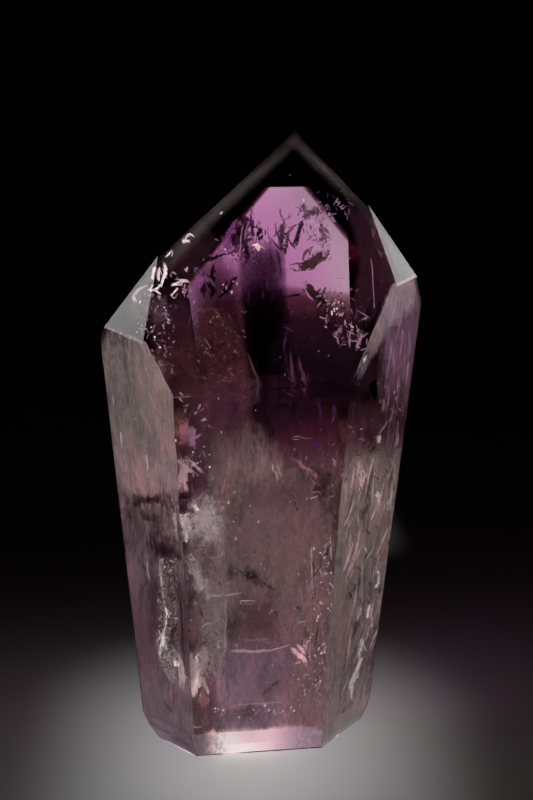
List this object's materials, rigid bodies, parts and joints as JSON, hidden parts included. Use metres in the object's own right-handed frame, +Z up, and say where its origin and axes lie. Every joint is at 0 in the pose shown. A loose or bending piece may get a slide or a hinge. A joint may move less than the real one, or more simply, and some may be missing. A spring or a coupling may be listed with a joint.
{
  "type": "polished amethyst point",
  "caption": "Free-standing polished amethyst crystal point with flat sides, an off-centre faceted tip and a flat base, deep purple above and pale and cloudy below.",
  "frame": {"origin": "on the base plane, under the middle of the stone's bounding box", "axes": "+Z up through the tip, the longest way; -Y out of the large front face; +X to the right of it"},
  "size_m": [0.0596, 0.0482, 0.11],
  "materials": {
    "amethyst": "polished, see-through, violet at the tip and cloudy pinkish grey towards the base"
  },
  "bodies": {
    "root": {"amethyst_point": "amethyst"}
  },
  "joints": []
}
